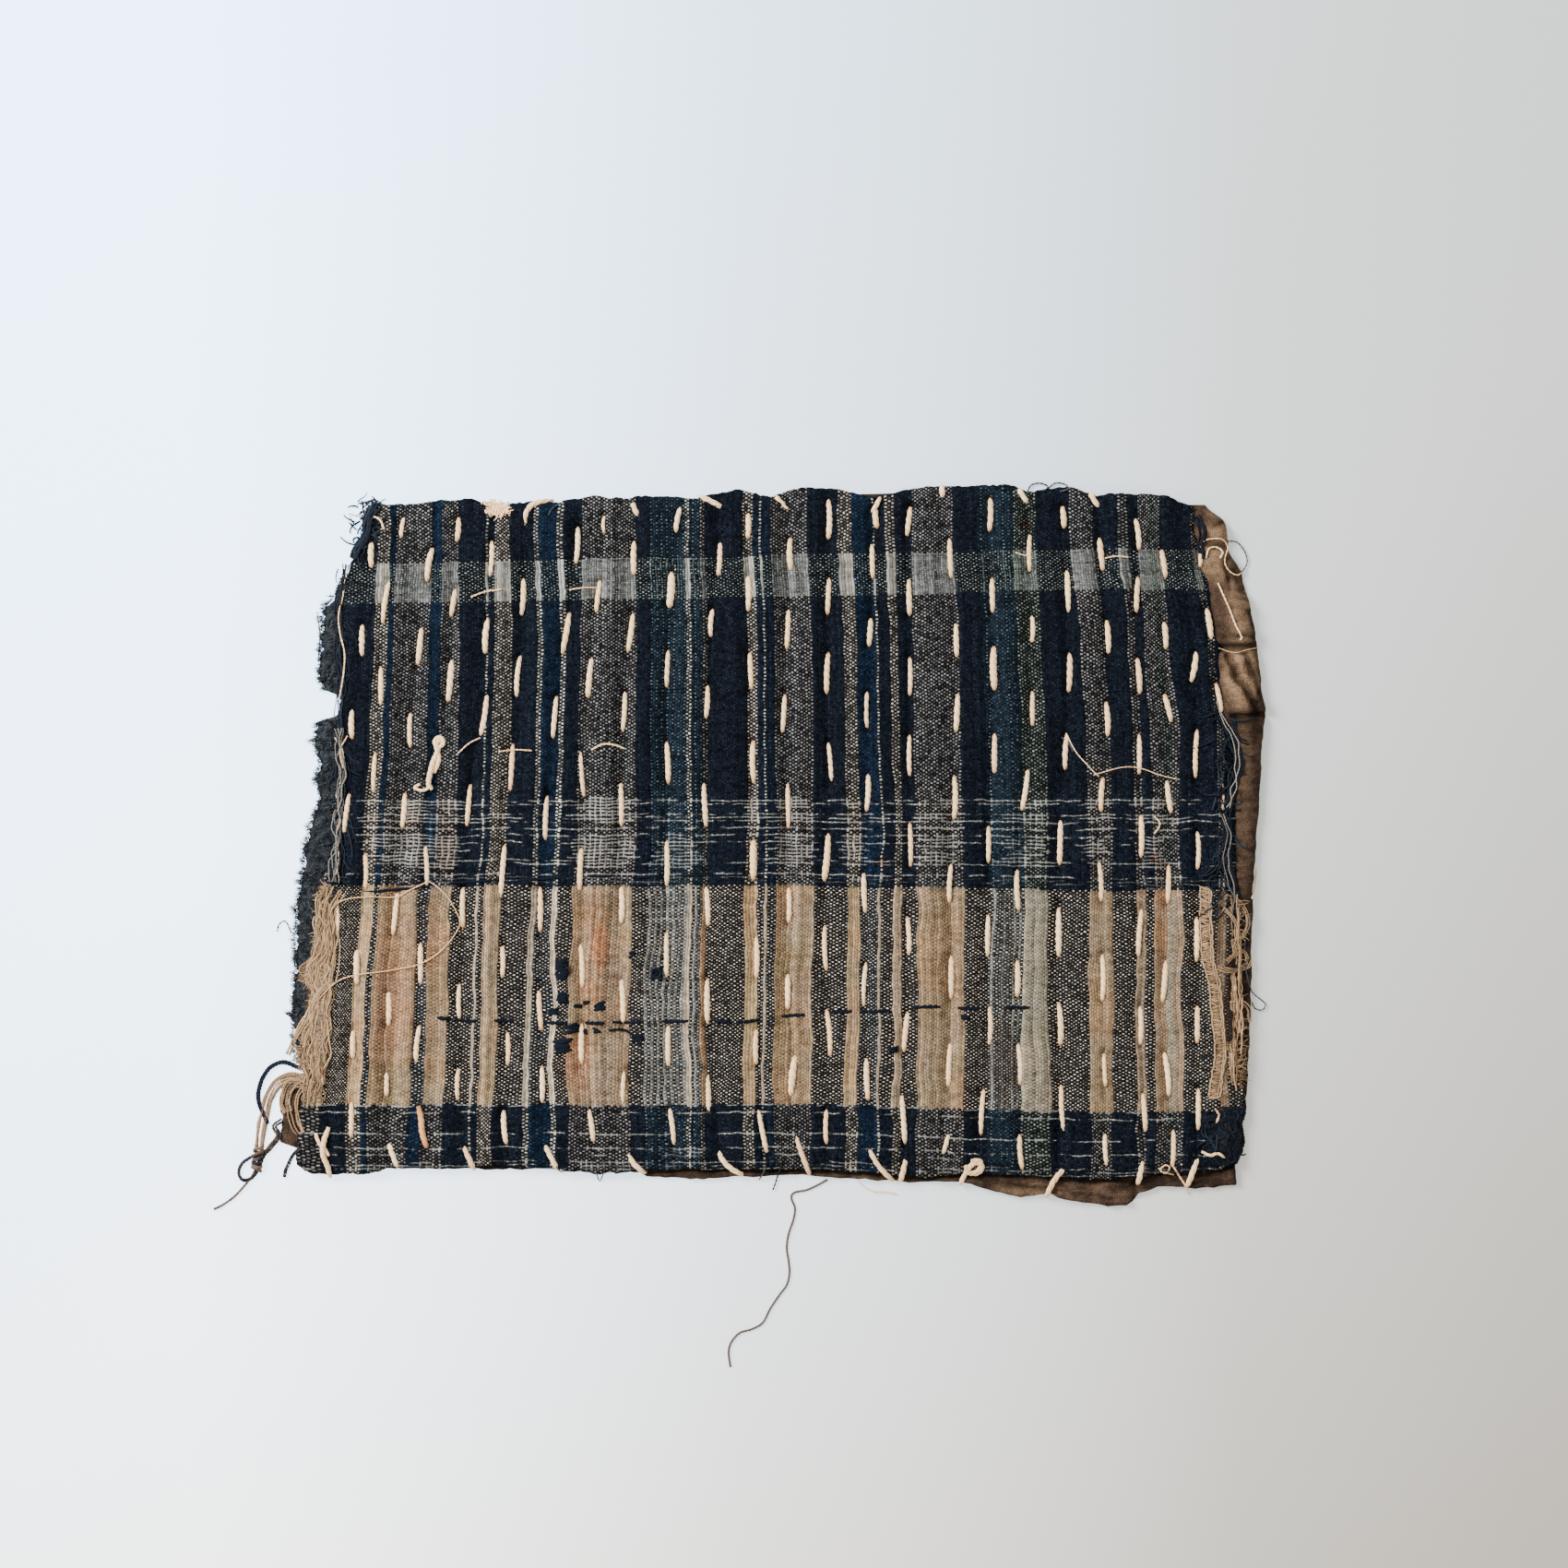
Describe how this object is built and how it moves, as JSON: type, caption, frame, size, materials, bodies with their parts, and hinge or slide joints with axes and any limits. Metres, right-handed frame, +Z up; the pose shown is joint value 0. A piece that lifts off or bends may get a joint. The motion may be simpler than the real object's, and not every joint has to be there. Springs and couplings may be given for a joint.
{
  "type": "boro patched cloth",
  "caption": "Flat quilted boro rag: check cotton face over dark and brown layers, with running stitches, frayed edges and loose threads",
  "frame": {"origin": "centre of the rag on the surface it lies on, the loose thread below its bottom edge left out", "axes": "+X along the longer side to the right as seen in the picture, +Y to its top edge, +Z up out of the face"},
  "size_m": [0.3415, 0.2868, 0.0056],
  "materials": {
    "check_cotton": "matte handwoven cotton, indigo and tan check",
    "dark_cotton": "matte, frayed, nearly black indigo",
    "brown_backing": "matte, crinkled, faded brown",
    "tan_yarn": "matte raw cotton yarn",
    "grey_thread": "matte cotton thread",
    "cream_thread": "matte, twisted cotton stitching thread"
  },
  "bodies": {
    "root": {"backing_cloth": "brown_backing", "dark_layer": "dark_cotton", "dark_fringe_upper": "dark_cotton", "dark_fringe_lower": "dark_cotton", "face_cloth": "check_cotton", "weft_fringe": "tan_yarn", "corner_threads": "tan_yarn", "hanging_thread": "grey_thread"}
  },
  "joints": []
}
